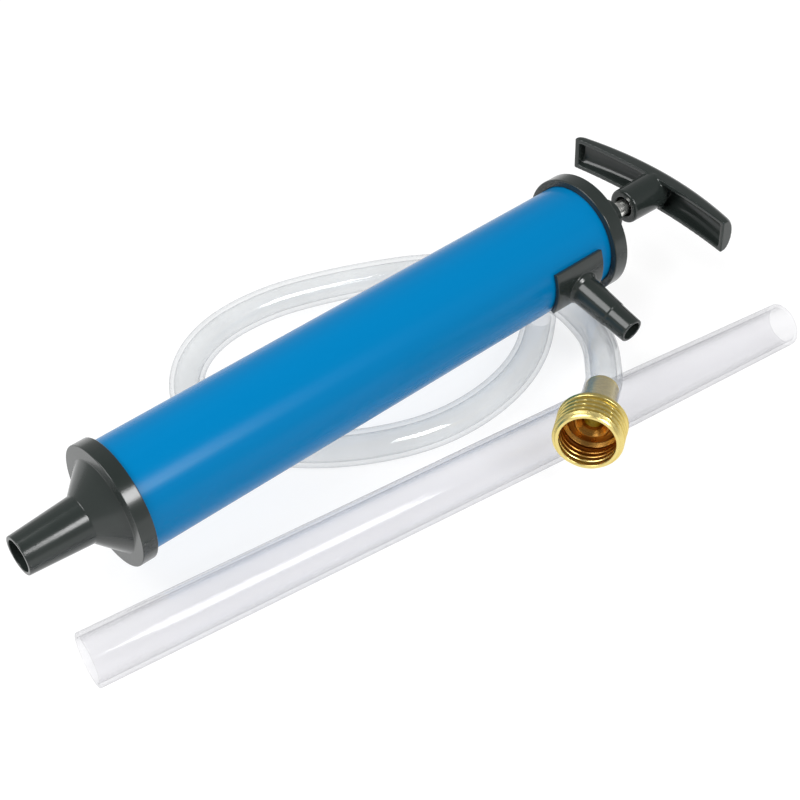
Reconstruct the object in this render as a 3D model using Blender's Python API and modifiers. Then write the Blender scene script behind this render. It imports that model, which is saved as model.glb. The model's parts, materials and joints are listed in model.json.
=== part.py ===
"""Hand transfer pump with its pick-up tube, hose and hose coupling.

A piston pump with a plastic barrel. The inlet nozzle is at the low X end, the T-handle at the high X end,
and the outlet spout points towards -Y. The barrel lies level on two strands of its own hose, the clear
pick-up tube lies beside it, and the hose's end with its threaded coupling is laid over that tube.

Lengths below are millimetres in the pump's own frame: x runs along the pump's axis from the front face of
the front cap's rim, y sideways, z up from the ground. place() turns them into metres in the part's frame.
"""
import math

import bmesh
import bpy
from mathutils import Matrix, Vector

MM = 0.001
GAP = 0.3                      # clearance kept between touching pieces

# The part's frame: the middle of the rigid pieces' footprint
FRAME_X = 116.8
FRAME_Y = -19.4

# Barrel and where it lies
BARREL_OUTER_R = 20.4
BARREL_INNER_R = 18.0
BARREL_START = 3.0
BARREL_END = 215.3
HOSE_R = 6.6
AXIS_Z = 2 * HOSE_R + GAP + BARREL_OUTER_R

# Front cap with the inlet nozzle
FRONT_RIM_R = 22.6
FRONT_RIM_LENGTH = 5.75
NOZZLE_TIP_X = -31.95
NOZZLE_TIP_R = 7.15
NOZZLE_ROOT_X = -8.6
NOZZLE_ROOT_R = 8.8
CONE_BASE_R = 17.5
NOZZLE_BORE_R = 5.8
SPIGOT_R = BARREL_INNER_R - GAP
VALVE_CAVITY_R = 15.8
VALVE_LEDGE_X = 2.4

# Rear cap and the rod's gland
REAR_RIM_START = 213.0
REAR_RIM_END = 219.2
REAR_RIM_R = 23.4
GLAND_R = 6.4
GLAND_END = 234.1

# Piston and rod, at rest with the handle almost home
ROD_R = 3.1
ROD_START = 16.2
ROD_END = 256.0
PISTON_START = 22.0
PISTON_END = 31.2
PISTON_R = 17.2
HUB_R = 5.6
HUB_END = 38.2

# T-handle
HANDLE_LENGTH = 79.8
HANDLE_HALF_HEIGHT = 7.15
HANDLE_RIM_X = 257.0
HANDLE_BOW = 3.2
HANDLE_ROLL = math.radians(3.4)
HANDLE_WALL = 1.9
RIM_DEPTH = 3.5                # depth of the flat rim side at the middle
RIM_TAPER = 2.2                # how much less deep it is at the ends
PALM_DEPTH = 5.0
BOSS_START = 241.0
BOSS_R = 7.0

# Outlet
OUTLET_X = 197.0
OUTLET_ANGLE = math.radians(97.6)
OUTLET_TIP = 48.4
OUTLET_BORE_R = 3.7
SADDLE_TO_FRONT = 13.0
SADDLE_TO_REAR = 10.3
SADDLE_HALF_HEIGHT = 9.3
SADDLE_OUTER_R = 22.4

# Pick-up tube
TUBE_R = 9.68
TUBE_WALL = 1.5
TUBE_LENGTH = 292.2
TUBE_TAPER_START = 216.0
TUBE_END_R = 8.5
TUBE_START_X = -30.1
TUBE_START_Y = -31.4
TUBE_TURN = math.radians(-7.695)

# Hose coupling, measured from its mouth
COUPLING_MOUTH = (141.0, -80.2, 32.3)
COUPLING_TURN = math.radians(-145.2)
COUPLING_TILT = math.radians(8.4)
COUPLING_AXIS = Vector((math.cos(COUPLING_TILT) * math.cos(COUPLING_TURN),
                        math.cos(COUPLING_TILT) * math.sin(COUPLING_TURN), math.sin(COUPLING_TILT)))
COUPLING_R = 12.5
COUPLING_LENGTH = 14.2
THREAD_PITCH = 2.3
THREAD_TURNS = 4
SHANK_R = 4.4
SHANK_END = -32.0
SLEEVE_BORE_R = 4.75

# The hose's route, from its cut end under the barrel to the end of the coupling's shank
HOSE_ROUTE = [
    (193.3, -4.6, 6.6), (185.5, -11.1, 6.6), (175.3, -17.7, 6.6), (160.8, -23.3, 6.6),
    (142.3, -25.9, 6.6), (122.3, -24.1, 6.6), (102.9, -17.0, 6.6), (84.8, -5.7, 6.6),
    (69.8, 9.3, 6.6), (61.8, 24.3, 6.6), (60.8, 39.3, 6.6), (66.3, 53.3, 6.6),
    (78.3, 64.7, 6.6), (96.3, 70.9, 6.6), (118.8, 70.1, 6.6), (140.3, 63.5, 6.6),
    (159.3, 55.3, 6.6), (176.8, 45.8, 6.6), (192.3, 32.3, 6.6), (202.8, 15.3, 6.6),
    (206.9, -2.7, 6.6), (204.1, -16.7, 8.4), (197.4, -29.3, 13.6), (191.3, -37.3, 18.1),
    (185.0, -44.7, 22.3), (178.7, -51.3, 25.5), (171.5, -59.0, 26.8),
]
HOSE_SPACING = 22.0            # distance between the points of the hose's curve


# ---------------------------------------------------------------------------------------- helpers

def place(x, y=0.0, z=AXIS_Z):
    """A point of the pump's own frame, in metres in the part's frame."""
    return Vector(((x - FRAME_X) * MM, (y - FRAME_Y) * MM, z * MM))


def clear_scene():
    for obj in list(bpy.data.objects):
        bpy.data.objects.remove(obj, do_unlink=True)


def new_collection(name):
    collection = bpy.data.collections.new(name)
    bpy.context.scene.collection.children.link(collection)
    return collection


def new_material(name, colour, roughness, metallic=0.0, alpha=1.0):
    material = bpy.data.materials.new(name)
    material.use_nodes = True
    shader = material.node_tree.nodes["Principled BSDF"]
    shader.inputs["Base Color"].default_value = (*colour, 1.0)
    shader.inputs["Roughness"].default_value = roughness
    shader.inputs["Metallic"].default_value = metallic
    shader.inputs["Alpha"].default_value = alpha
    return material


clear_scene()
PARTS = new_collection("transfer_pump")
CUTTERS = new_collection("cutters")

BLUE_PVC = new_material("blue_pvc", (0.0, 0.235, 0.58), 0.38)
BLACK_PLASTIC = new_material("black_plastic", (0.018, 0.021, 0.021), 0.32)
GREY_PLASTIC = new_material("grey_plastic", (0.30, 0.31, 0.32), 0.45)
RUBBER = new_material("rubber", (0.02, 0.02, 0.02), 0.7)
STEEL = new_material("plated_steel", (0.72, 0.72, 0.70), 0.2, 1.0)
BLACK_STEEL = new_material("blackened_steel", (0.03, 0.03, 0.03), 0.4, 1.0)
BRASS = new_material("brass", (0.72, 0.50, 0.16), 0.22, 1.0)
CLEAR_RIGID = new_material("clear_rigid_plastic", (0.93, 0.93, 0.96), 0.05, alpha=0.35)
CLEAR_SOFT = new_material("clear_soft_plastic", (0.92, 0.93, 0.93), 0.1, alpha=0.35)


def add_object(name, mesh, material=None):
    """A part with a material, or a hidden cutter without one."""
    obj = bpy.data.objects.new(name, mesh)
    if material is None:
        CUTTERS.objects.link(obj)
        obj.hide_render = True
        obj.display_type = "WIRE"
    else:
        PARTS.objects.link(obj)
        mesh.materials.append(material)
    return obj


def along_x(obj, x):
    """Stand an object built along +Z on the pump's axis, its own origin at x."""
    obj.location = place(x)
    obj.rotation_euler = (0.0, math.pi / 2, 0.0)
    return obj


def run_down_outside(profile):
    """The same outline, turned so that its outer side runs from top to bottom."""
    area = 0.0
    for (z0, r0), (z1, r1) in zip(profile, profile[1:] + profile[:1]):
        area += r0 * z1 - r1 * z0
    return profile[::-1] if area > 0 else profile


def turned(name, profile, steps, material=None):
    """A turned piece about +Z: profile is (height, radius) in millimetres.

    An outline that touches the axis is solid there. Any other outline is closed and leaves a bore.
    """
    profile = run_down_outside(profile)
    on_axis = [index for index, (_, radius) in enumerate(profile) if radius == 0.0]
    if on_axis:
        while not (profile[0][1] == 0.0 and profile[-1][1] == 0.0):
            profile = profile[1:] + profile[:1]
    mesh = bpy.data.meshes.new(name)
    shape = bmesh.new()
    verts = [shape.verts.new((radius * MM, 0.0, height * MM)) for height, radius in profile]
    pairs = list(zip(verts, verts[1:]))
    if not on_axis:
        pairs.append((verts[-1], verts[0]))
    for start, end in pairs:
        shape.edges.new((start, end))
    shape.to_mesh(mesh)
    shape.free()
    obj = add_object(name, mesh, material)
    screw = obj.modifiers.new("turn", "SCREW")
    screw.axis = "Z"
    screw.angle = 2 * math.pi
    screw.steps = steps
    screw.render_steps = steps
    screw.use_merge_vertices = True
    screw.merge_threshold = 0.00001
    screw.use_smooth_shade = True
    return obj


def ring(start, end, inner, outer):
    """The outline of a plain ring."""
    return [(start, inner), (start, outer), (end, outer), (end, inner)]


def boolean(obj, cutter, operation="DIFFERENCE"):
    modifier = obj.modifiers.new(operation.lower(), "BOOLEAN")
    modifier.operation = operation
    modifier.solver = "EXACT"
    modifier.object = cutter


def cylinders(name, centres, radius, start, end, segments):
    """Hidden upright cylinders between two heights, in one cutter."""
    mesh = bpy.data.meshes.new(name)
    shape = bmesh.new()
    for x, y in centres:
        middle = Matrix.Translation((x * MM, y * MM, (start + end) / 2 * MM))
        bmesh.ops.create_cone(shape, cap_ends=True, segments=segments, radius1=radius * MM,
                              radius2=radius * MM, depth=(end - start) * MM, matrix=middle)
    shape.to_mesh(mesh)
    shape.free()
    return add_object(name, mesh)


def circle_of(count, radius):
    return [(radius * math.cos(2 * math.pi * index / count), radius * math.sin(2 * math.pi * index / count))
            for index in range(count)]


def box(name, low, high, material=None):
    """A box between two corners, in millimetres about the object's origin."""
    mesh = bpy.data.meshes.new(name)
    shape = bmesh.new()
    size = [(b - a) * MM for a, b in zip(low, high)]
    middle = [(a + b) / 2 * MM for a, b in zip(low, high)]
    bmesh.ops.create_cube(shape, size=1.0, matrix=Matrix.Translation(middle) @ Matrix.Diagonal((*size, 1.0)))
    shape.to_mesh(mesh)
    shape.free()
    return add_object(name, mesh, material)


def hex_nut(name, across_flats, start, end, bore, material):
    """A hexagonal nut along +Z with a plain bore."""
    mesh = bpy.data.meshes.new(name)
    shape = bmesh.new()
    corner = across_flats / math.sqrt(3)
    middle = Matrix.Translation((0, 0, (start + end) / 2 * MM))
    bmesh.ops.create_cone(shape, cap_ends=True, segments=6, radius1=corner * MM, radius2=corner * MM,
                          depth=(end - start) * MM, matrix=middle)
    shape.to_mesh(mesh)
    shape.free()
    nut = add_object(name, mesh, material)
    hole = cylinders(name + "_hole", [(0, 0)], bore, start - 1, end + 1, 24)
    boolean(nut, hole)
    return nut, hole


# ---------------------------------------------------------------------------------- barrel and caps

def barrel():
    pipe = along_x(turned("barrel", ring(BARREL_START, BARREL_END, BARREL_INNER_R, BARREL_OUTER_R), 64,
                          BLUE_PVC), 0)
    port = outlet_frame(cylinders("barrel_port", [(0, 0)], 6.0, 12, 24, 32))
    boolean(pipe, port)


def front_cap():
    rounding = 0.4
    profile = [
        (NOZZLE_TIP_X, NOZZLE_BORE_R), (NOZZLE_TIP_X, NOZZLE_TIP_R - 0.5),
        (NOZZLE_TIP_X + 0.5, NOZZLE_TIP_R), (NOZZLE_ROOT_X, NOZZLE_ROOT_R),
        (NOZZLE_ROOT_X + 0.4, NOZZLE_ROOT_R + 0.4), (0.0, CONE_BASE_R), (0.0, FRONT_RIM_R - rounding),
        (rounding, FRONT_RIM_R), (FRONT_RIM_LENGTH - rounding, FRONT_RIM_R),
        (FRONT_RIM_LENGTH, FRONT_RIM_R - rounding), (FRONT_RIM_LENGTH, BARREL_OUTER_R + GAP),
        (1.6, BARREL_OUTER_R + GAP), (1.6, SPIGOT_R), (13.0, SPIGOT_R), (13.0, VALVE_CAVITY_R),
        (VALVE_LEDGE_X, VALVE_CAVITY_R), (VALVE_LEDGE_X, 14.2), (0.2, 14.2), (-7.0, 6.3),
    ]
    along_x(turned("front_cap", profile, 48, BLACK_PLASTIC), 0)
    along_x(turned("front_cap_seal", ring(1.9, 2.7, SPIGOT_R + GAP, BARREL_OUTER_R), 40, RUBBER), 0)


def foot_valve():
    seat = along_x(turned("foot_valve_seat", ring(VALVE_LEDGE_X + GAP, 5.2, 1.9, VALVE_CAVITY_R - GAP), 40,
                          GREY_PLASTIC), 0)
    boolean(seat, along_x(cylinders("seat_ports", circle_of(6, 5.3), 1.7, 1, 7, 16), 0))
    along_x(turned("foot_valve_ring", ring(5.5, 7.5, 11.5, VALVE_CAVITY_R - GAP), 40, GREY_PLASTIC), 0)
    poppet = [(-1.2, 0.0), (-1.2, 1.5), (5.5, 1.5), (5.5, 8.6), (6.6, 8.6), (7.2, 7.4), (7.2, 0.0)]
    along_x(turned("foot_valve_poppet", poppet, 32, RUBBER), 0)
    along_x(turned("foot_valve_clip", ring(-0.9, -0.1, 1.8, 3.6), 24, STEEL), 0)


def rear_cap():
    rounding = 0.4
    profile = [
        (REAR_RIM_END, GLAND_R + GAP), (REAR_RIM_END, REAR_RIM_R - rounding),
        (REAR_RIM_END - rounding, REAR_RIM_R), (REAR_RIM_START + rounding, REAR_RIM_R),
        (REAR_RIM_START, REAR_RIM_R - rounding), (REAR_RIM_START, BARREL_OUTER_R + GAP),
        (216.4, BARREL_OUTER_R + GAP), (216.4, SPIGOT_R), (207.4, SPIGOT_R), (207.4, 15.6),
        (216.0, 15.6), (216.0, GLAND_R + GAP),
    ]
    along_x(turned("rear_cap", profile, 48, BLACK_PLASTIC), 0)
    along_x(turned("rear_cap_seal", ring(215.6, 216.1, SPIGOT_R + GAP, BARREL_OUTER_R), 40, RUBBER), 0)


def rod_gland():
    profile = [
        (GLAND_END, 5.3), (GLAND_END, GLAND_R - 0.5), (GLAND_END - 0.5, GLAND_R), (215.7, GLAND_R),
        (215.7, 11.0), (212.7, 11.0), (212.7, ROD_R + 0.4), (222.9, ROD_R + 0.4), (222.9, 5.3),
    ]
    along_x(turned("rod_gland", profile, 40, BLACK_PLASTIC), 0)
    along_x(turned("rod_seal", ring(223.2, 225.7, ROD_R + GAP, 5.0), 32, RUBBER), 0)
    along_x(turned("gland_bush", ring(226.0, 233.8, ROD_R + GAP, 5.0), 32, BLACK_PLASTIC), 0)


# ------------------------------------------------------------------------------------------- outlet

def outlet_frame(obj):
    """Stand an object built along +Z on the pump's axis, pointing out through the spout."""
    obj.location = place(OUTLET_X)
    obj.rotation_euler = (OUTLET_ANGLE, 0.0, 0.0)
    return obj


def outlet():
    saddle = along_x(turned("outlet_spout", ring(-SADDLE_TO_FRONT, SADDLE_TO_REAR, BARREL_OUTER_R + GAP,
                                                 SADDLE_OUTER_R), 72, BLACK_PLASTIC), OUTLET_X)
    window = box("saddle_window", (-SADDLE_TO_FRONT - 1, -SADDLE_OUTER_R - 1, -SADDLE_HALF_HEIGHT),
                 (SADDLE_TO_REAR + 1, -8.0, SADDLE_HALF_HEIGHT))
    window.location = place(OUTLET_X)
    boolean(saddle, window, "INTERSECT")
    spout = [
        (18.15, 0.0), (18.15, 4.4), (20.85, 4.4), (20.85, 7.0), (22.0, 6.9), (22.7, 6.4), (23.4, 6.0),
        (38.5, 5.35), (38.7, 5.12), (OUTLET_TIP - 0.3, 4.8), (OUTLET_TIP, 4.5), (OUTLET_TIP, 0.0),
    ]
    boolean(saddle, outlet_frame(turned("spout_body", spout, 32)), "UNION")
    boolean(saddle, outlet_frame(cylinders("spout_bore", [(0, 0)], OUTLET_BORE_R, 16, 50, 24)))
    outlet_frame(turned("outlet_seal", ring(18.2, 19.2, 4.7, 5.7), 28, RUBBER))


# ---------------------------------------------------------------------------------- piston and rod

def piston():
    profile = [
        (PISTON_START, ROD_R + GAP), (PISTON_START, PISTON_R), (24.2, PISTON_R), (24.2, 14.4),
        (29.0, 14.4), (29.0, PISTON_R), (PISTON_END, PISTON_R), (PISTON_END, HUB_R), (HUB_END, HUB_R),
        (HUB_END, ROD_R + GAP),
    ]
    body = along_x(turned("piston_body", profile, 40, GREY_PLASTIC), 0)
    boolean(body, along_x(cylinders("piston_ports", circle_of(6, 9.6), 2.0, 20, 33, 16), 0))
    cup = [
        (24.5, 14.7), (24.5, 17.2), (25.2, 17.7), (28.7, 17.7), (28.7, 17.0), (26.3, 16.3), (28.7, 15.6),
        (28.7, 14.7),
    ]
    along_x(turned("piston_cup", cup, 48, RUBBER), 0)
    along_x(turned("piston_valve_disc", ring(31.5, 33.0, HUB_R + GAP, 13.2), 32, RUBBER), 0)
    along_x(turned("piston_valve_stop", ring(35.7, 37.2, HUB_R + GAP, 9.5), 32, STEEL), 0)


def piston_rod():
    rod = [(ROD_START, 0.0), (ROD_START, ROD_R - 0.4), (ROD_START + 0.4, ROD_R), (ROD_END - 0.4, ROD_R),
           (ROD_END, ROD_R - 0.4), (ROD_END, 0.0)]
    along_x(turned("piston_rod", rod, 24, STEEL), 0)
    along_x(turned("rod_collar", ring(38.5, 57.0, ROD_R + GAP, 6.5), 24, STEEL), 0)
    along_x(turned("rod_washer", ring(20.5, 21.7, ROD_R + GAP, 7.5), 24, STEEL), 0)
    for piece in hex_nut("rod_nut", 10.0, 16.9, 20.2, ROD_R + GAP, STEEL):
        along_x(piece, 0)


# ----------------------------------------------------------------------------------------- T-handle

def handle_section(half_height, palm_depth, rim, points=10):
    """The bar's section as (x, z) pairs: a straight rim side, then the rounded palm side."""
    section = [(0.0, -half_height)]
    for index in range(points + 1):
        angle = math.pi * (index / points - 0.5)
        section.append((rim + palm_depth * math.cos(angle), half_height * math.sin(angle)))
    section.append((0.0, half_height))
    return section


def handle_bar(name, length, half_height, palm_depth, forward, material=None):
    """A bar bowed towards the palm, lofted along y from rounded end to rounded end.

    forward carries the rim side on past the rim, so that the same bar can cut the recess.
    """
    half = length / 2
    round_off = 2.5
    stations = [half, half - 0.25 * round_off, half - 0.6 * round_off, half - round_off]
    stations += [half - round_off - (half - round_off) * step / 8 for step in range(1, 9)]
    stations = stations + [-y for y in reversed(stations[:-1])]
    mesh = bpy.data.meshes.new(name)
    shape = bmesh.new()
    rings = []
    for y in stations:
        into_end = max(0.0, (abs(y) - (half - round_off)) / round_off)
        fullness = math.sqrt(1 - (0.6 * into_end) ** 2)
        towards_end = (2 * y / HANDLE_LENGTH) ** 2
        rim = RIM_DEPTH - RIM_TAPER * towards_end
        section = handle_section(half_height * (0.8 + 0.2 * fullness), palm_depth * fullness, rim)
        bow = HANDLE_BOW * towards_end
        rings.append([shape.verts.new(((x - bow - (forward if x == 0.0 else 0.0)) * MM, y * MM, z * MM))
                      for x, z in section])
    for first, second in zip(rings, rings[1:]):
        count = len(first)
        for index in range(count):
            after = (index + 1) % count
            shape.faces.new((first[index], first[after], second[after], second[index]))
    shape.faces.new(rings[0][::-1])
    shape.faces.new(rings[-1])
    bmesh.ops.recalc_face_normals(shape, faces=shape.faces)
    shape.to_mesh(mesh)
    shape.free()
    bar = add_object(name, mesh, material)
    bar.location = place(HANDLE_RIM_X)
    bar.rotation_euler = (-HANDLE_ROLL, 0.0, 0.0)
    return bar


def t_handle():
    bar = handle_bar("t_handle", HANDLE_LENGTH, HANDLE_HALF_HEIGHT, PALM_DEPTH, 0.0, BLACK_PLASTIC)
    recess = handle_bar("handle_recess", HANDLE_LENGTH - 2 * HANDLE_WALL, HANDLE_HALF_HEIGHT - HANDLE_WALL,
                        PALM_DEPTH - HANDLE_WALL, 3.0)
    boolean(bar, recess)
    boss = [(BOSS_START, 0.0), (BOSS_START, BOSS_R - 0.6), (BOSS_START + 0.6, BOSS_R), (258.5, BOSS_R + 0.3),
            (260.0, 6.4), (263.8, 4.6), (263.8, 0.0)]
    boolean(bar, along_x(turned("handle_boss", boss, 40), 0), "UNION")
    socket = [(BOSS_START - 1, 0.0), (BOSS_START - 1, 4.9), (246.0, 4.9), (246.0, ROD_R + GAP),
              (257.0, ROD_R + GAP), (257.0, 0.0)]
    boolean(bar, along_x(turned("handle_socket", socket, 32), 0))
    pocket = hex_nut("nut_pocket", 8.8, 245.0, 250.5, 1.0, None)[0]
    pocket.modifiers.clear()
    boolean(bar, along_x(pocket, 0))
    for piece in hex_nut("handle_nut", 8.2, 246.3, 250.2, ROD_R + GAP, BLACK_STEEL):
        along_x(piece, 0)


# -------------------------------------------------------------------- pick-up tube, coupling and hose

def pickup_tube():
    bore_r = TUBE_R - TUBE_WALL
    profile = [
        (0.0, bore_r), (0.0, TUBE_R - 0.3), (0.3, TUBE_R), (TUBE_TAPER_START, TUBE_R),
        (TUBE_LENGTH, TUBE_END_R), (TUBE_LENGTH, TUBE_END_R - TUBE_WALL), (TUBE_TAPER_START, bore_r),
    ]
    tube = turned("pickup_tube", profile, 40, CLEAR_RIGID)
    tube.location = place(TUBE_START_X, TUBE_START_Y, TUBE_R)
    tube.rotation_euler = (0.0, math.pi / 2, TUBE_TURN)


def coupling_frame(obj):
    """Stand an object built along +Z on the coupling's axis, its mouth at height 0."""
    obj.location = place(*COUPLING_MOUTH)
    obj.rotation_euler = (0.0, math.pi / 2 - COUPLING_TILT, COUPLING_TURN)
    return obj


def coupling():
    """The threaded shell, rolled so that its inside follows the thread, and the shank held in it."""
    root_r = COUPLING_R - 1.1
    threads = []
    ripples = []
    for turn in range(THREAD_TURNS):
        crest = -1.6 - turn * THREAD_PITCH
        threads += [(crest + 0.35, COUPLING_R - 0.15), (crest - 0.35, COUPLING_R - 0.15),
                    (crest - THREAD_PITCH / 2, root_r)]
        ripples += [(crest - 0.3, 10.8), (crest - THREAD_PITCH / 2, 10.1)]
    shell = [(-0.9, 9.7), (-0.2, 10.0), (0.0, 10.6), (0.0, 11.4)] + threads + [
        (-10.3, COUPLING_R), (-12.0, COUPLING_R), (-13.1, 11.0), (-13.9, 9.4), (-COUPLING_LENGTH, 8.4),
        (-COUPLING_LENGTH, 5.3), (-12.8, 5.3), (-12.8, 8.8), (-11.4, 10.6),
    ] + ripples[-2::-1]
    coupling_frame(turned("coupling_shell", shell, 40, BRASS))
    shank = [
        (SHANK_END, 3.3), (SHANK_END, SHANK_R - 0.4), (SHANK_END + 0.6, SHANK_R), (-13.6, SHANK_R),
        (-13.6, 5.0), (-12.5, 5.0), (-12.5, 8.4), (-11.7, 8.9), (-11.7, 6.6), (-11.1, 6.2),
        (-11.1, 5.6), (-12.6, 3.9), (-13.4, 3.3),
    ]
    coupling_frame(turned("coupling_shank", shank, 32, BRASS))
    sleeve = ring(SHANK_END, -COUPLING_LENGTH - GAP, SLEEVE_BORE_R, HOSE_R)
    coupling_frame(turned("hose_end_sleeve", sleeve, 24, CLEAR_SOFT))


def smooth_route(route, spacing):
    """Points about every spacing along a smooth curve through the route's points."""
    points = [Vector(point) for point in route]
    ends = [2 * points[0] - points[1]] + points + [2 * points[-1] - points[-2]]
    fine = []
    for index in range(1, len(ends) - 2):
        before, start, end, after = ends[index - 1:index + 3]
        for step in range(20):
            t = step / 20
            fine.append(0.5 * (2 * start + (end - before) * t + (2 * before - 5 * start + 4 * end - after) * t ** 2
                               + (3 * start - before - 3 * end + after) * t ** 3))
    fine.append(points[-1])
    for point in fine:
        point.z = max(point.z, HOSE_R)
    distance = [0.0]
    for start, end in zip(fine, fine[1:]):
        distance.append(distance[-1] + (end - start).length)
    count = round(distance[-1] / spacing)
    chosen = []
    for step in range(count + 1):
        target = distance[-1] * step / count
        nearest = min(range(len(fine)), key=lambda index: abs(distance[index] - target))
        chosen.append(fine[nearest])
    return chosen


def hose():
    """The free hose as a plain tube; its last stretch, around the shank, is the sleeve."""
    shank_end = Vector(COUPLING_MOUTH) + COUPLING_AXIS * (SHANK_END - GAP)
    points = smooth_route(HOSE_ROUTE, HOSE_SPACING) + [shank_end]
    curve = bpy.data.curves.new("hose", "CURVE")
    curve.dimensions = "3D"
    curve.bevel_depth = HOSE_R * MM
    curve.bevel_resolution = 4
    curve.use_fill_caps = True
    spline = curve.splines.new("POLY")
    spline.points.add(len(points) - 1)
    for target, point in zip(spline.points, points):
        target.co = (*place(*point), 1.0)
    curve.materials.append(CLEAR_SOFT)
    obj = bpy.data.objects.new("hose", curve)
    PARTS.objects.link(obj)


barrel()
front_cap()
foot_valve()
rear_cap()
rod_gland()
outlet()
piston()
piston_rod()
t_handle()
pickup_tube()
coupling()
hose()
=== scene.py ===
"""The looks of the hand transfer pump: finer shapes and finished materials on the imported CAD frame.

Outlines are in millimetres in the pump's own frame, where x runs along the pump's axis from the front cap's
rim towards the handle. The coupling's outlines run back from its mouth. Routes, places and all else are in
metres in the row frame.
"""

import json
import math

import bmesh
import bpy
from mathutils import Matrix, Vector


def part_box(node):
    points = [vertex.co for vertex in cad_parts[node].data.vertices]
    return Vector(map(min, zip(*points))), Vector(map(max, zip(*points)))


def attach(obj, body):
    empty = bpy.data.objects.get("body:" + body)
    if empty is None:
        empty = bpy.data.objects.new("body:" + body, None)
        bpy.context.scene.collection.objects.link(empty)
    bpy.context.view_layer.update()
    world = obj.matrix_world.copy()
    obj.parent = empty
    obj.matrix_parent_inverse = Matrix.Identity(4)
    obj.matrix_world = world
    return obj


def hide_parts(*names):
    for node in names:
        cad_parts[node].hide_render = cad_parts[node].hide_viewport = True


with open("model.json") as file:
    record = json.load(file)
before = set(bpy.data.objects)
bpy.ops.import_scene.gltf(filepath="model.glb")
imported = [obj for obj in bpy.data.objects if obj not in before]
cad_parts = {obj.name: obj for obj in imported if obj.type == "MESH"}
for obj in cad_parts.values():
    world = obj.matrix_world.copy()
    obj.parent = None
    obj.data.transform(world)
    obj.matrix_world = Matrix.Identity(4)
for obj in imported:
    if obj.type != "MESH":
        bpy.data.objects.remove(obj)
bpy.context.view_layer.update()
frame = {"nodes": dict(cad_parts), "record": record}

MM = 0.001
GAP = 0.3
SHARP_ANGLE = math.radians(35)
CORNER_SHARE = 0.48               # how much of an edge a rounded corner may take

# The pump's axis and front, read from the frame
BARREL_LOW, BARREL_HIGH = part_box("barrel")
BARREL_START = 3.0
BARREL_END = 215.3
BARREL_OUTER_R = 20.4
BARREL_INNER_R = 18.0
PUMP_ORIGIN = Vector((BARREL_LOW.x - BARREL_START * MM, (BARREL_LOW.y + BARREL_HIGH.y) / 2,
                      (BARREL_LOW.z + BARREL_HIGH.z) / 2))

# Front cap and its nozzle
CAP_BORE_R = 20.7                 # the caps' sockets for the barrel, and the saddle's inside
FRONT_RIM_R = 22.6
FRONT_RIM_END = 5.75
CONE_BASE_R = 17.5
NOZZLE_TIP = -31.95
NOZZLE_TIP_R = 7.15
NOZZLE_ROOT_R = 8.8
NOZZLE_BORE_R = 5.8

# Rear cap, gland and rod
REAR_RIM_START = 213.0
REAR_RIM_END = 219.2
REAR_RIM_R = 23.4
GLAND_R = 6.4
GLAND_END = 234.1
ROD_R = 3.1
ROD_START = 16.2
ROD_END = 256.0

# Outlet
SADDLE_TO_FRONT = 13.0
SADDLE_TO_REAR = 10.3
SADDLE_OUTER_R = 22.4
SADDLE_FIRST = math.radians(245.0)
SADDLE_LAST = math.radians(295.0)
SPOUT_BORE_R = 3.7
OUTLET_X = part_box("outlet_spout")[0].x + SADDLE_TO_FRONT * MM
OUTLET_ANGLE = math.radians(97.6)
OUTLET_TIP = 48.4

# T-handle
HANDLE_LENGTH = 79.8
HANDLE_HALF_HEIGHT = 7.15
HANDLE_RIM_X = 257.0
HANDLE_BOW = 3.2
HANDLE_ROLL = math.radians(3.4)
HANDLE_WALL = 1.9
RIM_DEPTH = 3.5
RIM_TAPER = 2.2
PALM_DEPTH = 5.0
HANDLE_ROUND_OFF = 2.5            # how much of each end is rounded
BOSS_START = 241.0
BOSS_R = 7.0

# Pick-up tube
TUBE_R = 9.68
TUBE_WALL = 1.5
TUBE_LENGTH = 292.2
TUBE_TAPER_START = 216.0
TUBE_END_R = 8.5
TUBE_TURN = math.radians(-7.695)
TUBE_START = Vector((-0.1469, -0.0120, TUBE_R * MM))

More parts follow.
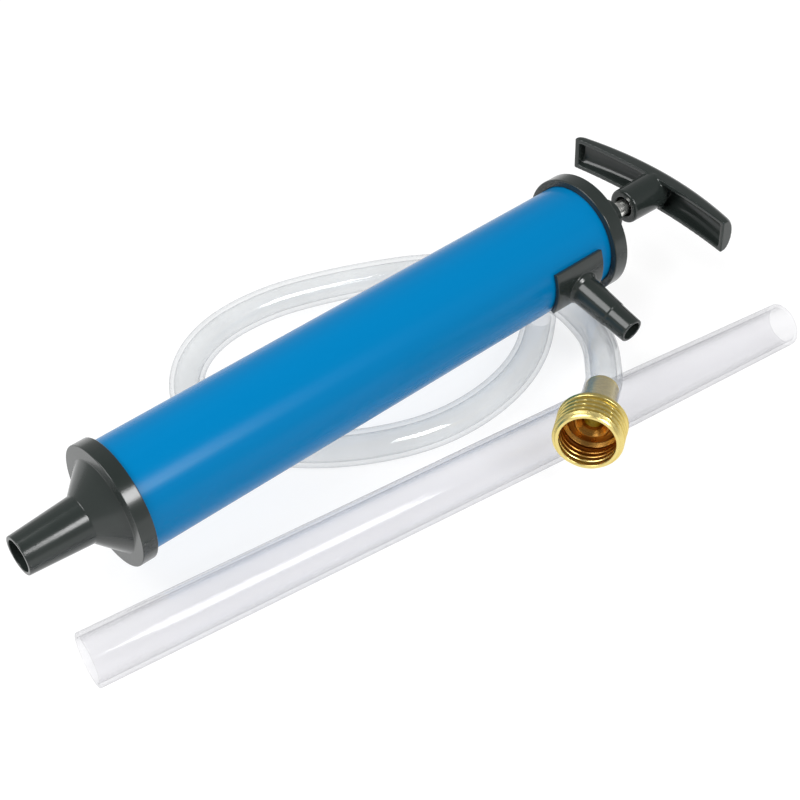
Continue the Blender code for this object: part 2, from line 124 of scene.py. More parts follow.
# Hose and coupling
HOSE_R = 6.6
HOSE_BORE_R = 4.75
COUPLING_MOUTH = Vector((0.0242, -0.0608, 0.0323))
COUPLING_TURN = math.radians(-145.2)
COUPLING_TILT = math.radians(8.4)
COUPLING_AXIS = Vector((math.cos(COUPLING_TILT) * math.cos(COUPLING_TURN),
                        math.cos(COUPLING_TILT) * math.sin(COUPLING_TURN), math.sin(COUPLING_TILT)))
COUPLING_R = 12.5
COUPLING_ROOT_R = 11.3
COUPLING_BORE_R = 10.0
COUPLING_LENGTH = 14.2
THREAD_PITCH = 2.3
THREAD_START = -0.6
THREAD_END = -9.9
OUTER_RELIEF = 1.1
INNER_RELIEF = 0.3
SHANK_END = -32.0
SHANK_BORE_R = 3.3
SHANK_SEEN_R = 6.1               # the shank as the clear hose around it magnifies it
HOSE_ROUTE = [
    (0.0765, 0.0148, 0.0066), (0.0687, 0.0083, 0.0066), (0.0585, 0.0017, 0.0066),
    (0.0440, -0.0039, 0.0066), (0.0255, -0.0065, 0.0066), (0.0055, -0.0047, 0.0066),
    (-0.0139, 0.0024, 0.0066), (-0.0320, 0.0137, 0.0066), (-0.0470, 0.0287, 0.0066),
    (-0.0550, 0.0437, 0.0066), (-0.0560, 0.0587, 0.0066), (-0.0505, 0.0727, 0.0066),
    (-0.0385, 0.0841, 0.0066), (-0.0205, 0.0903, 0.0066), (0.0020, 0.0895, 0.0066),
    (0.0235, 0.0829, 0.0066), (0.0425, 0.0747, 0.0066), (0.0600, 0.0652, 0.0066),
    (0.0755, 0.0517, 0.0066), (0.0860, 0.0347, 0.0066), (0.0901, 0.0167, 0.0066),
    (0.0873, 0.0027, 0.0084), (0.0806, -0.0099, 0.0136), (0.0745, -0.0179, 0.0181),
    (0.0682, -0.0253, 0.0223), (0.0619, -0.0319, 0.0255), (0.0547, -0.0396, 0.0268),
]
HOSE_STEP = 0.002
STEPS_BETWEEN_POINTS = 20
EVENING_PASSES = 60


# ------------------------------------------------------------------------------------------- shapes

def soften(outline, closed=True, arc_points=5):
    """An outline of (x, r) or (x, r, rounding), with each rounded corner as an arc."""
    made = []
    count = len(outline)
    for index, corner in enumerate(outline):
        here = Vector(corner[:2])
        rounding = corner[2] if len(corner) > 2 else 0.0
        if rounding == 0.0 or (not closed and index in (0, count - 1)):
            made.append(tuple(here))
            continue
        before = Vector(outline[index - 1][:2]) - here
        after = Vector(outline[(index + 1) % count][:2]) - here
        half = before.angle(after) / 2
        reach = min(rounding / math.tan(half), CORNER_SHARE * before.length, CORNER_SHARE * after.length)
        radius = reach * math.tan(half)
        middle = here + (before.normalized() + after.normalized()).normalized() * (radius / math.sin(half))
        start = here + before.normalized() * reach - middle
        end = here + after.normalized() * reach - middle
        sweep = start.angle_signed(end)
        for step in range(arc_points + 1):
            turn = -sweep * step / arc_points
            made.append((middle.x + start.x * math.cos(turn) - start.y * math.sin(turn),
                         middle.y + start.x * math.sin(turn) + start.y * math.cos(turn)))
    return made


def mesh_object(name, shape):
    """An object from a bmesh, shaded smooth but for its sharp edges."""
    bmesh.ops.recalc_face_normals(shape, faces=shape.faces)
    mesh = bpy.data.meshes.new(name)
    shape.to_mesh(mesh)
    shape.free()
    mesh.shade_smooth()
    mesh.set_sharp_from_angle(angle=SHARP_ANGLE)
    obj = bpy.data.objects.new(name, mesh)
    bpy.context.scene.collection.objects.link(obj)
    return obj


def lathe(name, outline, steps=128, relief=None):
    """A turned body about +Z. relief(x, r, angle) may shift a point's radius, for a thread."""
    shape = bmesh.new()
    rings = []
    for x, r in outline:
        if r == 0.0:
            rings.append([shape.verts.new((0, 0, x * MM))] * steps)
            continue
        ring = []
        for step in range(steps):
            angle = 2 * math.pi * step / steps
            radius = (r + (relief(x, r, angle) if relief else 0.0)) * MM
            ring.append(shape.verts.new((radius * math.cos(angle), radius * math.sin(angle), x * MM)))
        rings.append(ring)
    pairs = list(zip(rings, rings[1:]))
    if outline[0][1] != 0.0:
        pairs.append((rings[-1], rings[0]))
    for first, second in pairs:
        for step in range(steps):
            after = (step + 1) % steps
            corners = [first[step], first[after], second[after], second[step]]
            unique = [v for index, v in enumerate(corners) if v not in corners[:index]]
            if len(unique) > 2:
                shape.faces.new(unique)
    obj = mesh_object(name, shape)
    weighted = obj.modifiers.new("even_shading", "WEIGHTED_NORMAL")
    weighted.keep_sharp = True
    return obj


def on_pump_axis(obj):
    obj.location = PUMP_ORIGIN
    obj.rotation_euler = (0.0, math.pi / 2, 0.0)
    return obj


def on_outlet_axis(obj):
    obj.location = (OUTLET_X, PUMP_ORIGIN.y, PUMP_ORIGIN.z)
    obj.rotation_euler = (OUTLET_ANGLE, 0.0, 0.0)
    return obj


def on_coupling_axis(obj):
    obj.location = COUPLING_MOUTH
    obj.rotation_euler = (0.0, math.pi / 2 - COUPLING_TILT, COUPLING_TURN)
    return obj


def combine(obj, tool, operation):
    """Boolean with a second object, which is then removed."""
    bpy.context.view_layer.update()
    modifier = obj.modifiers.new("combine", "BOOLEAN")
    modifier.operation = operation
    modifier.solver = "EXACT"
    modifier.object = tool
    bake(obj)
    bpy.data.objects.remove(tool)


def bake(obj):
    """Replace an object's mesh by its modified one."""
    graph = bpy.context.evaluated_depsgraph_get()
    mesh = bpy.data.meshes.new_from_object(obj.evaluated_get(graph))
    obj.modifiers.clear()
    obj.data = mesh


def mould(obj, voxel, smoothing):
    """Round every edge and inner corner a little, as on a moulding."""
    remesh = obj.modifiers.new("even_mesh", "REMESH")
    remesh.mode = "VOXEL"
    remesh.voxel_size = voxel * MM
    remesh.use_smooth_shade = True
    smooth = obj.modifiers.new("rounding", "SMOOTH")
    smooth.factor = 0.5
    smooth.iterations = smoothing
    bake(obj)
    obj.data.shade_smooth()


def sweep_tube(name, path, outer, bores, sides=40):
    """A hollow tube along a path of points, with a bore radius at each point and cut ends."""
    shape = bmesh.new()
    befores = [path[0]] + path[:-1]
    afters = path[1:] + [path[-1]]
    tangents = [(after - before).normalized() for before, after in zip(befores, afters)]
    side = Vector((0, 0, 1)).cross(tangents[0]).normalized()
    outside, inside = [], []
    for point, tangent, bore in zip(path, tangents, bores):
        side = (side - tangent * side.dot(tangent)).normalized()
        up = tangent.cross(side)
        for radius, rings in ((outer, outside), (bore, inside)):
            rings.append([shape.verts.new(point + (side * math.cos(2 * math.pi * k / sides)
                                                   + up * math.sin(2 * math.pi * k / sides)) * radius * MM)
                          for k in range(sides)])
    loops = outside + inside[::-1]
    for first, second in zip(loops, loops[1:] + loops[:1]):
        for k in range(sides):
            after = (k + 1) % sides
            shape.faces.new((first[k], first[after], second[after], second[k]))
    return mesh_object(name, shape)


def smooth_route(route, spacing):
    """Evenly spaced points along a smooth curve through the route's points."""
    points = [Vector(point) for point in route]
    ends = [2 * points[0] - points[1]] + points + [2 * points[-1] - points[-2]]
    fine = []
    for index in range(1, len(ends) - 2):
        before, start, end, after = ends[index - 1:index + 3]
        for step in range(STEPS_BETWEEN_POINTS):
            t = step / STEPS_BETWEEN_POINTS
            bend = 2 * before - 5 * start + 4 * end - after
            twist = 3 * start - before - 3 * end + after
            fine.append(0.5 * (2 * start + (end - before) * t + bend * t ** 2 + twist * t ** 3))
    fine.append(points[-1])
    for _ in range(EVENING_PASSES):
        inner = [(a + 2 * b + c) / 4 for a, b, c in zip(fine, fine[1:], fine[2:])]
        fine = [fine[0]] + inner + [fine[-1]]
    lowest = HOSE_R * MM
    for point in fine:
        point.z = max(point.z, lowest)
    distance = [0.0]
    for start, end in zip(fine, fine[1:]):
        distance.append(distance[-1] + (end - start).length)
    count = round(distance[-1] / spacing)
    chosen = []
    index = 0
    for step in range(count + 1):
        target = distance[-1] * step / count
        while index < len(fine) - 2 and distance[index + 1] < target:
            index += 1
        share = (target - distance[index]) / (distance[index + 1] - distance[index])
        chosen.append(fine[index].lerp(fine[index + 1], share))
    return chosen


# ---------------------------------------------------------------------------------------- materials

def new_material(name):
    """A material with a node tree, its shader and a shorthand that adds and sets nodes."""
    material = bpy.data.materials.new(name)
    material.use_nodes = True
    tree = material.node_tree
    shader = tree.nodes["Principled BSDF"]

    def add(kind, **inputs):
        node = tree.nodes.new(kind)
        for key, value in inputs.items():
            key = key.replace("_", " ")
            if isinstance(value, bpy.types.NodeSocket):
                tree.links.new(value, node.inputs[key])
            else:
                node.inputs[key].default_value = value
        return node

    return material, tree, shader, add


def stretched_noise(tree, add, stretch, scale, detail=3.0):
    """Noise on object coordinates, stretched along the object's axes."""
    place = tree.nodes.new("ShaderNodeTexCoord")
    mapping = add("ShaderNodeMapping", Vector=place.outputs["Object"], Scale=stretch)
    return add("ShaderNodeTexNoise", Vector=mapping.outputs["Vector"], Scale=scale, Detail=detail)


def ranged(add, value, low, high):
    """A 0..1 value put between low and high."""
    node = add("ShaderNodeMapRange", Value=value)
    node.inputs["From Min"].default_value = 0.3
    node.inputs["From Max"].default_value = 0.7
    node.inputs["To Min"].default_value = low
    node.inputs["To Max"].default_value = high
    return node.outputs["Result"]


def colour_between(add, factor, first, second):
    node = add("ShaderNodeMix")
    node.data_type = "RGBA"
    node.inputs[6].default_value = (*first, 1.0)
    node.inputs[7].default_value = (*second, 1.0)
    node.id_data.links.new(factor, node.inputs[0])
    return node.outputs[2]


def plastic(name, first, second, roughness, stretch, scale, skin_scale, skin, specular=0.5):
    """Moulded or extruded plastic: two close shades, uneven gloss and a fine skin."""
    material, tree, shader, add = new_material(name)
    shade = stretched_noise(tree, add, stretch, scale)
    tree.links.new(colour_between(add, shade.outputs["Fac"], first, second), shader.inputs["Base Color"])
    tree.links.new(ranged(add, shade.outputs["Fac"], *roughness), shader.inputs["Roughness"])
    grain = stretched_noise(tree, add, (1, 1, 1), skin_scale, 2.0)
    relief = add("ShaderNodeBump", Strength=skin, Distance=0.0002, Height=grain.outputs["Fac"])
    tree.links.new(relief.outputs["Normal"], shader.inputs["Normal"])
    shader.inputs["Specular IOR Level"].default_value = specular
    return material


TURNING_LINES = 400.0


def metal(name, first, second, roughness, stretch, bump):
    """Turned or plated metal: fine lines round the axis and a little tarnish."""
    material, tree, shader, add = new_material(name)
    tarnish = stretched_noise(tree, add, (1, 1, 1), 90.0, 4.0)
    tree.links.new(colour_between(add, tarnish.outputs["Fac"], first, second), shader.inputs["Base Color"])
    lines = stretched_noise(tree, add, stretch, TURNING_LINES, 2.0)
    tree.links.new(ranged(add, lines.outputs["Fac"], *roughness), shader.inputs["Roughness"])
    relief = add("ShaderNodeBump", Strength=bump, Distance=0.0001, Height=lines.outputs["Fac"])
    tree.links.new(relief.outputs["Normal"], shader.inputs["Normal"])
    shader.inputs["Metallic"].default_value = 1.0
    return material


# Brass seen edge on, and where painted shade turns its mouth brown: across the wall, at the back and behind
# the lip
BRASS_EDGE = (0.72, 0.58, 0.30, 1.0)
MOUTH_SHADE_WALL = (11.1, 10.6)
MOUTH_SHADE_BACK = (-13.9, -13.5)
MOUTH_SHADE_FRONT = (-1.5, -6.5)


def brass(name, first, second, inside, roughness):
    """Turned brass about the object's own axis, bright outside, with painted shade in brown inside the
    fitting's mouth.
    """
    material = metal(name, first, second, roughness, (1, 1, 25), 0.05)
    tree = material.node_tree
    shader = tree.nodes["Principled BSDF"]
    bright = shader.inputs["Base Color"].links[0].from_socket
    place = tree.nodes.new("ShaderNodeTexCoord")
    parts = tree.nodes.new("ShaderNodeSeparateXYZ")
    tree.links.new(place.outputs["Object"], parts.inputs["Vector"])
    flat = tree.nodes.new("ShaderNodeCombineXYZ")
    tree.links.new(parts.outputs["X"], flat.inputs["X"])
    tree.links.new(parts.outputs["Y"], flat.inputs["Y"])
    radius = tree.nodes.new("ShaderNodeVectorMath")
    radius.operation = "LENGTH"
    tree.links.new(flat.outputs["Vector"], radius.inputs[0])

    def mask(value, low, high):
        node = tree.nodes.new("ShaderNodeMapRange")
        node.interpolation_type = "SMOOTHSTEP"
        node.inputs["From Min"].default_value = low * MM
        node.inputs["From Max"].default_value = high * MM
        tree.links.new(value, node.inputs["Value"])
        return node.outputs["Result"]

    # Painted shade: on the mouth's inner wall, from its back to behind the lip, the colour is mixed towards
    # inside, a darker brown
    within = tree.nodes.new("ShaderNodeMath")
    within.operation = "MULTIPLY"
    tree.links.new(mask(radius.outputs["Value"], *MOUTH_SHADE_WALL), within.inputs[0])
    tree.links.new(mask(parts.outputs["Z"], *MOUTH_SHADE_BACK), within.inputs[1])
    mouth_shade_mask = tree.nodes.new("ShaderNodeMath")
    mouth_shade_mask.operation = "MULTIPLY"
    tree.links.new(within.outputs["Value"], mouth_shade_mask.inputs[0])
    tree.links.new(mask(parts.outputs["Z"], *MOUTH_SHADE_FRONT), mouth_shade_mask.inputs[1])
    mixed = tree.nodes.new("ShaderNodeMix")
    mixed.data_type = "RGBA"
    tree.links.new(mouth_shade_mask.outputs["Value"], mixed.inputs[0])
    tree.links.new(bright, mixed.inputs[6])
    mixed.inputs[7].default_value = (*inside, 1.0)
    tree.links.new(mixed.outputs[2], shader.inputs["Base Color"])
    shader.inputs["Specular Tint"].default_value = BRASS_EDGE
    return material


def clear_plastic(name, roughness, edge, centre, haze, stretch, scale, bump, gloss):
    """Clear tube: light passes straight through its thin walls, which are greyer and hazier seen edge on.

    edge and centre are the wall's tints. haze is its milky colour, then its share face on and its rise edge
    on. gloss is the reflection face on, and the power by which it grows edge on.
    """
    material, tree, shader, add = new_material(name)
    tree.nodes.remove(shader)

    def maths(operation, first, second):
        node = add("ShaderNodeMath", Value=first)
        node.operation = operation
        node.inputs[1].default_value = second
        return node.outputs["Value"]

    waves = stretched_noise(tree, add, stretch, scale, 2.0)
    relief = add("ShaderNodeBump", Strength=bump, Distance=0.0004, Height=waves.outputs["Fac"])
    facing = add("ShaderNodeLayerWeight", Blend=0.5, Normal=relief.outputs["Normal"]).outputs["Facing"]
    shade = colour_between(add, maths("POWER", facing, 5.0), centre, edge)
    cloud = ranged(add, waves.outputs["Fac"], 0.97, 1.0)
    varied = add("ShaderNodeVectorMath")
    varied.operation = "MULTIPLY"
    tree.links.new(shade, varied.inputs[0])
    tree.links.new(cloud, varied.inputs[1])
    through = add("ShaderNodeBsdfTransparent", Color=varied.outputs["Vector"])
    milk = add("ShaderNodeBsdfDiffuse", Color=(*haze[0], 1.0))
    milky = tree.nodes.new("ShaderNodeMixShader")
    clouding = maths("MULTIPLY", maths("POWER", facing, 2.0), haze[2])
    tree.links.new(maths("ADD", clouding, haze[1]), milky.inputs[0])
    tree.links.new(through.outputs["BSDF"], milky.inputs[1])
    tree.links.new(milk.outputs["BSDF"], milky.inputs[2])
    shine = add("ShaderNodeBsdfGlossy", Roughness=roughness, Normal=relief.outputs["Normal"])
    glossy = tree.nodes.new("ShaderNodeMixShader")
    grazing = maths("MULTIPLY", maths("POWER", facing, gloss[1]), 0.9)
    tree.links.new(maths("ADD", grazing, gloss[0]), glossy.inputs[0])
    tree.links.new(milky.outputs["Shader"], glossy.inputs[1])
    tree.links.new(shine.outputs["BSDF"], glossy.inputs[2])
    tree.links.new(glossy.outputs["Shader"], tree.nodes["Material Output"].inputs["Surface"])
    return material


BLUE_PVC = plastic("blue_pvc_looks", (0.0, 0.160, 0.382), (0.0, 0.174, 0.414), (0.20, 0.28), (30, 30, 1), 5.0,
                   900.0, 0.03, specular=0.10)
BLACK_PLASTIC = plastic("black_plastic_looks", (0.015, 0.020, 0.018), (0.024, 0.030, 0.028), (0.16, 0.23),
                        (1, 1, 1), 60.0, 700.0, 0.04)
GREY_PLASTIC = plastic("grey_plastic_looks", (0.27, 0.28, 0.29), (0.33, 0.34, 0.35), (0.4, 0.5), (1, 1, 1),
                       60.0, 700.0, 0.1)
RUBBER = plastic("rubber_looks", (0.015, 0.015, 0.015), (0.03, 0.03, 0.03), (0.6, 0.75), (1, 1, 1), 90.0,
                 500.0, 0.2)
STEEL = metal("plated_steel_looks", (0.86, 0.86, 0.82), (0.94, 0.94, 0.91), (0.22, 0.30), (1, 1, 5), 0.02)
BLACK_STEEL = metal("black_steel_looks", (0.03, 0.03, 0.03), (0.06, 0.06, 0.06), (0.3, 0.45), (1, 1, 10), 0.1)
# The third colour is painted shade: the darker brown inside the coupling's mouth
BRASS = brass("brass_looks", (0.74, 0.59, 0.20), (0.82, 0.69, 0.29), (0.46, 0.23, 0.055), (0.24, 0.36))
CLEAR_TUBE = clear_plastic("clear_rigid_looks", 0.10, (0.52, 0.52, 0.57), (0.968, 0.967, 0.974),
                           ((0.80, 0.80, 0.83), 0.03, 0.12), (1, 1, 0.06), 60.0, 0.03, (0.012, 3.0))
CLEAR_HOSE = clear_plastic("clear_hose_looks", 0.08, (0.50, 0.52, 0.55), (0.968, 0.972, 0.974),
                           ((0.85, 0.87, 0.88), 0.03, 0.16), (1, 1, 1), 45.0, 0.06, (0.035, 5.0))

SLOT_LOOKS = {
    "blue_pvc": BLUE_PVC, "black_plastic": BLACK_PLASTIC, "grey_plastic": GREY_PLASTIC, "rubber": RUBBER,
    "plated_steel": STEEL, "black_steel": BLACK_STEEL, "brass": BRASS, "clear_rigid": CLEAR_TUBE,
    "clear_hose": CLEAR_HOSE,
}


def finish_piece(obj, body, slot, *nodes):
    """Give a piece the material of its slot, put it on its body, and hide the CAD nodes that it stands for.
    """
    obj.data.materials.clear()
    obj.data.materials.append(SLOT_LOOKS[slot])
    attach(obj, body)
    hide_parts(*nodes)
    return obj


def dress_cad_nodes():
    """Every CAD node takes the finished material of its slot."""
    for subpart in frame["record"]["subparts"]:
        node = frame["nodes"][subpart["node"]]
        node.data.materials.clear()
        node.data.materials.append(SLOT_LOOKS[subpart["material_slot"]])


# ------------------------------------------------------------------------------------ pump's shapes

def barrel():
    rings = [(x, BARREL_OUTER_R) for x in (60.0, 120.0, 185.0, 190.0, 204.0, 209.0)]
    outline = soften([(BARREL_START, BARREL_INNER_R), (BARREL_START, BARREL_OUTER_R, 0.3), *rings,
                      (BARREL_END, BARREL_OUTER_R, 0.3), (BARREL_END, BARREL_INNER_R)])
    pipe = on_pump_axis(lathe("barrel_pipe", outline))
    port = on_outlet_axis(lathe("port", [(12, 0.0), (12, 6.0), (24, 6.0), (24, 0.0)], 48))
    combine(pipe, port, "DIFFERENCE")
    finish_piece(pipe, "pump_body", "blue_pvc", "barrel")


def front_cap():
    outline = soften([
        (NOZZLE_TIP, NOZZLE_BORE_R, 0.25), (NOZZLE_TIP, NOZZLE_TIP_R, 0.3), (-8.6, NOZZLE_ROOT_R, 0.5),
        (-8.2, 9.2, 0.3), (0.0, CONE_BASE_R, 0.5), (0.0, FRONT_RIM_R, 0.35),
        (FRONT_RIM_END, FRONT_RIM_R, 0.35), (FRONT_RIM_END, CAP_BORE_R), (1.6, CAP_BORE_R), (1.6, 17.7),
        (13.0, 17.7), (13.0, 15.8), (2.4, 15.8), (2.4, 14.2), (0.2, 14.2), (-7.0, 6.3),
    ])
    cap = on_pump_axis(lathe("front_cap_moulding", outline, 144))
    finish_piece(cap, "pump_body", "black_plastic", "front_cap")


def rear_cap():
    outline = soften([
        (REAR_RIM_END, 6.7), (REAR_RIM_END, REAR_RIM_R, 0.4), (REAR_RIM_START, REAR_RIM_R, 0.4),
        (REAR_RIM_START, CAP_BORE_R), (216.4, CAP_BORE_R), (216.4, 17.7), (207.4, 17.7), (207.4, 15.6),
        (216.0, 15.6), (216.0, 6.7),
    ])
    cap = on_pump_axis(lathe("rear_cap_moulding", outline, 144))
    finish_piece(cap, "pump_body", "black_plastic", "rear_cap")
    gland = soften([
        (GLAND_END, 5.3, 0.2), (GLAND_END, GLAND_R, 0.5), (215.7, GLAND_R), (215.7, 11.0), (212.7, 11.0),
        (212.7, 3.5), (222.9, 3.5), (222.9, 5.3),
    ])
    neck = on_pump_axis(lathe("rod_gland_neck", gland, 96))
    finish_piece(neck, "pump_body", "black_plastic", "rod_gland")


def piston_rod():
    outline = soften([(ROD_START, 0.0), (ROD_START, ROD_R, 0.4), (130.0, ROD_R), (ROD_END, ROD_R, 0.4),
                      (ROD_END, 0.0)], closed=False)
    rod = on_pump_axis(lathe("piston_rod_bar", outline, 64))
    finish_piece(rod, "rod", "plated_steel", "piston_rod")


def outlet():
    """The saddle that hugs the barrel, and the stepped spout grown into it."""
    shape = bmesh.new()
    parts = 40
    rings = []
    for step in range(parts + 1):
        angle = SADDLE_FIRST + (SADDLE_LAST - SADDLE_FIRST) * step / parts
        rings.append([shape.verts.new((x * MM, r * math.sin(angle) * MM, r * math.cos(angle) * MM))
                      for x, r in ((-SADDLE_TO_FRONT, CAP_BORE_R), (-SADDLE_TO_FRONT, SADDLE_OUTER_R),
                                   (SADDLE_TO_REAR, SADDLE_OUTER_R), (SADDLE_TO_REAR, CAP_BORE_R))])
    for one, two in zip(rings, rings[1:]):
        for k in range(4):
            after = (k + 1) % 4
            shape.faces.new((one[k], one[after], two[after], two[k]))
    shape.faces.new(rings[0])
    shape.faces.new(rings[-1])
    saddle = mesh_object("outlet_moulding", shape)
    saddle.location = (OUTLET_X, PUMP_ORIGIN.y, PUMP_ORIGIN.z)
    spout = soften([
        (18.15, 0.0), (18.15, 4.4), (20.85, 4.4), (20.85, 7.0), (22.2, 6.9, 0.6), (23.4, 6.0, 1.0),
        (38.5, 5.4, 0.1), (38.8, 5.15, 0.1), (OUTLET_TIP, 4.9, 0.4), (OUTLET_TIP, 0.0),
    ], closed=False)
    bpy.context.view_layer.update()
    combine(saddle, on_outlet_axis(lathe("spout", spout, 96)), "UNION")
    bore = on_outlet_axis(lathe("bore", [(16, 0.0), (16, SPOUT_BORE_R), (50, SPOUT_BORE_R), (50, 0.0)], 64))
    combine(saddle, bore, "DIFFERENCE")
    mould(saddle, 0.22, 2)
    finish_piece(saddle, "pump_body", "black_plastic", "outlet_spout")


def handle_bar(name, length, half_height, palm_depth, forward):
    """A bar bowed towards the palm: straight rims on the pump's side and a rounded palm side."""
    half, round_off, arc = length / 2, HANDLE_ROUND_OFF, 16
    shape = bmesh.new()
    stations = [half - round_off + round_off * math.sin(math.pi / 2 * k / 8) for k in range(8, 0, -1)]
    stations += [(half - round_off) * (1 - k / 20) for k in range(21)]
    stations += [-y for y in reversed(stations[:-1])]
    rings = []
    for y in stations:
        into_end = max(0.0, (abs(y) - (half - round_off)) / round_off)
        fullness = math.sqrt(1 - (0.6 * into_end) ** 2)
        towards_end = (2 * y / HANDLE_LENGTH) ** 2
        bow = HANDLE_BOW * towards_end
        rim = RIM_DEPTH - RIM_TAPER * towards_end
        height = half_height * (0.8 + 0.2 * fullness)
        section = [(-forward, -height)]
        for k in range(arc + 1):
            angle = math.pi * (k / arc - 0.5)
            section.append((rim + palm_depth * fullness * math.cos(angle), height * math.sin(angle)))
        section.append((-forward, height))
        rings.append([shape.verts.new(((x - bow) * MM, y * MM, z * MM)) for x, z in section])
    for one, two in zip(rings, rings[1:]):
        for k in range(len(one)):
            after = (k + 1) % len(one)
            shape.faces.new((one[k], one[after], two[after], two[k]))
    shape.faces.new(rings[0])
    shape.faces.new(rings[-1])
    bar = mesh_object(name, shape)
    bar.location = PUMP_ORIGIN + Vector((HANDLE_RIM_X * MM, 0, 0))
    bar.rotation_euler = (-HANDLE_ROLL, 0.0, 0.0)
    return bar


def t_handle():
    bar = handle_bar("t_handle_moulding", HANDLE_LENGTH, HANDLE_HALF_HEIGHT, PALM_DEPTH, 0.0)
    recess = handle_bar("recess", HANDLE_LENGTH - 2 * HANDLE_WALL, HANDLE_HALF_HEIGHT - HANDLE_WALL,
                        PALM_DEPTH - HANDLE_WALL, 3.0)
    combine(bar, recess, "DIFFERENCE")
    boss = soften([(BOSS_START, 0.0), (BOSS_START, BOSS_R, 0.7), (258.5, BOSS_R + 0.3, 0.6), (260.0, 6.4),
                   (263.8, 4.6), (263.8, 0.0)], closed=False)
    combine(bar, on_pump_axis(lathe("boss", boss, 96)), "UNION")
    socket = [(239.0, 0.0), (239.0, 4.2), (242.5, 4.2), (242.5, 4.9), (246.0, 4.9), (246.0, 3.4),
              (HANDLE_RIM_X, 3.4), (HANDLE_RIM_X, 0.0)]
    combine(bar, on_pump_axis(lathe("socket", socket, 64)), "DIFFERENCE")
    mould(bar, 0.3, 4)
    finish_piece(bar, "rod", "black_plastic", "t_handle")


# --------------------------------------------------------------------------- tube, hose and coupling

def pickup_tube():
    bore_r = TUBE_R - TUBE_WALL
    end_bore_r = TUBE_END_R - TUBE_WALL
    outline = soften([
        (0.0, bore_r, 0.3), (0.0, TUBE_R, 0.4), (100.0, TUBE_R), (TUBE_TAPER_START, TUBE_R, 3.0),
        (TUBE_LENGTH, TUBE_END_R, 0.4), (TUBE_LENGTH, end_bore_r, 0.3), (TUBE_TAPER_START, bore_r, 3.0),
        (100.0, bore_r),
    ])
    tube = lathe("pickup_tube_clear", outline, 128)
    tube.location = TUBE_START
    tube.rotation_euler = (0.0, math.pi / 2, TUBE_TURN)
    finish_piece(tube, "pickup_tube", "clear_rigid", "pickup_tube")


def thread_relief(x, r, angle):
    """How far the rolled helical thread stands out of the coupling's wall, at a place along and round it."""
    run_out = 0.9
    if r < COUPLING_BORE_R - 0.5 or not THREAD_END < x < THREAD_START:
        return 0.0
    phase = (x / THREAD_PITCH + angle / (2 * math.pi)) % 1.0
    wave = 0.5 + 0.5 * math.cos(2 * math.pi * phase)
    crest = max(0.0, min(1.0, 1.9 * wave - 0.35))               # flat crests and roots
    fade = min(1.0, (THREAD_START - x) / run_out, (x - THREAD_END) / run_out)
    return (OUTER_RELIEF if r > COUPLING_BORE_R + 1.0 else INNER_RELIEF) * crest * fade


def coupling():
    step = 0.1
    count = int(-THREAD_END / step)
    outside = [(-0.5 - step * k, COUPLING_ROOT_R) for k in range(count - 4)]
    inside = [(-1.2 - step * k, COUPLING_BORE_R) for k in range(count - 11)][::-1]
    lip = soften([(-0.9, 9.7, 0.3), (-0.1, COUPLING_BORE_R, 0.3), (0.0, 10.6, 0.3),
                  (0.0, COUPLING_ROOT_R, 0.3)])
    neck = soften([
        (-10.0, COUPLING_ROOT_R), (-10.4, COUPLING_R, 0.35), (-12.0, COUPLING_R, 0.5),
        (-13.1, 11.0, 0.6), (-13.9, 9.4, 0.5), (-COUPLING_LENGTH, 8.4, 0.3), (-COUPLING_LENGTH, 5.3),
        (-12.8, 5.3), (-12.8, 8.8), (-11.4, 10.6, 0.5), (-10.3, 10.6, 0.3),
    ])
    shell = lip + outside + neck + inside
    body = on_coupling_axis(lathe("coupling_thread", shell, 160, thread_relief))
    finish_piece(body, "pump_body", "brass", "coupling_shell")
    shank = soften([
        (SHANK_END, SHANK_BORE_R, 0.2), (SHANK_END, SHANK_SEEN_R, 0.4), (-14.6, SHANK_SEEN_R), (-14.6, 5.0),
        (-12.5, 5.0), (-12.5, 8.4), (-11.7, 8.9, 0.3), (-11.7, 6.6, 0.2), (-11.1, 6.2, 0.2),
        (-11.1, 5.6, 0.2), (-12.6, 3.9, 0.3), (-13.4, SHANK_BORE_R),
    ])
    stem = on_coupling_axis(lathe("coupling_stem", shank, 96))
    finish_piece(stem, "pump_body", "brass", "coupling_shank")
    return body, stem


def hose(fitting):
    on_stem = [COUPLING_MOUTH + COUPLING_AXIS * (distance * MM)
               for distance in (SHANK_END - GAP, -26.0, -20.0, -COUPLING_LENGTH - GAP)]
    path = smooth_route(HOSE_ROUTE + on_stem, HOSE_STEP)
    stem_reach = (GAP - SHANK_END) * MM
    bores = [SHANK_SEEN_R + 0.1 if (point - COUPLING_MOUTH).length < stem_reach else HOSE_BORE_R
             for point in path]
    tube = sweep_tube("hose_clear", path, HOSE_R, bores)
    finish_piece(tube, "pump_body", "clear_hose", "hose", "hose_end_sleeve")


# ------------------------------------------------------------------------------------------- studio

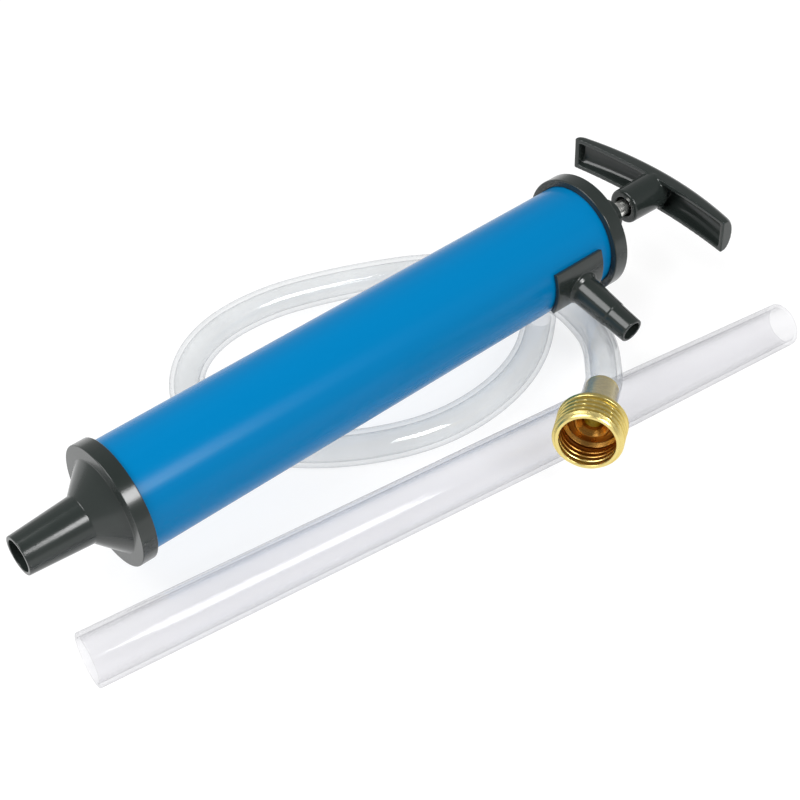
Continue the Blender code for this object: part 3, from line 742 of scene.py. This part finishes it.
WALL_LIGHT = 0.55
CEILING_LIGHT = 0.14
FLOOR_SHADE = 0.26
FLOOR_GLOW = 0.79
LIGHTS = (  # name, place, width, depth, watts
    ("key", (-0.50, 0.25, 0.90), 0.75, 0.75, 10.0),
    ("strip", (0.09, -0.62, 0.66), 0.28, 0.3, 4.6),
)
EYE = (-0.2632, -0.3022, 0.4261)
EYE_PITCH = math.radians(44.75)
EYE_HEADING = math.radians(-40.26)
LENS = 71.79
SENSOR = 36.0


def studio():
    scene = bpy.context.scene
    scene.view_settings.view_transform = "Standard"
    world = bpy.data.worlds.new("studio")
    world.use_nodes = True
    nodes, links = world.node_tree.nodes, world.node_tree.links
    height = nodes.new("ShaderNodeSeparateXYZ")
    links.new(nodes.new("ShaderNodeTexCoord").outputs["Generated"], height.inputs["Vector"])
    level = nodes.new("ShaderNodeMapRange")
    level.inputs["To Min"].default_value = WALL_LIGHT
    level.inputs["To Max"].default_value = CEILING_LIGHT
    links.new(height.outputs["Z"], level.inputs["Value"])
    links.new(level.outputs["Result"], nodes["Background"].inputs["Strength"])
    nodes["Background"].inputs["Color"].default_value = (1, 1, 1, 1)
    scene.world = world

    bpy.ops.mesh.primitive_plane_add(size=40.0, location=(0, 0, -0.0004))
    floor = bpy.context.active_object
    floor.name = "floor"
    material, tree, shader, add = new_material("floor_looks")
    shader.inputs["Base Color"].default_value = (FLOOR_SHADE, FLOOR_SHADE, FLOOR_SHADE, 1.0)
    shader.inputs["Roughness"].default_value = 0.9
    shader.inputs["Specular IOR Level"].default_value = 0.0
    shader.inputs["Emission Color"].default_value = (1, 1, 1, 1)
    shader.inputs["Emission Strength"].default_value = FLOOR_GLOW
    floor.data.materials.append(material)

    for name, place, width, depth, power in LIGHTS:
        light = bpy.data.lights.new(name, "AREA")
        light.shape = "RECTANGLE"
        light.size = width
        light.size_y = depth
        light.energy = power
        lamp = bpy.data.objects.new(name, light)
        lamp.location = place
        lamp.rotation_euler = (-Vector(place)).to_track_quat("-Z", "Y").to_euler()
        scene.collection.objects.link(lamp)

    camera = bpy.data.cameras.new("camera")
    camera.lens = LENS
    camera.sensor_width = SENSOR
    eye = bpy.data.objects.new("camera", camera)
    eye.location = EYE
    eye.rotation_euler = (EYE_PITCH, 0.0, EYE_HEADING)
    scene.collection.objects.link(eye)
    scene.camera = eye


studio()
dress_cad_nodes()
barrel()
front_cap()
rear_cap()
piston_rod()
outlet()
t_handle()
pickup_tube()
hose(coupling())
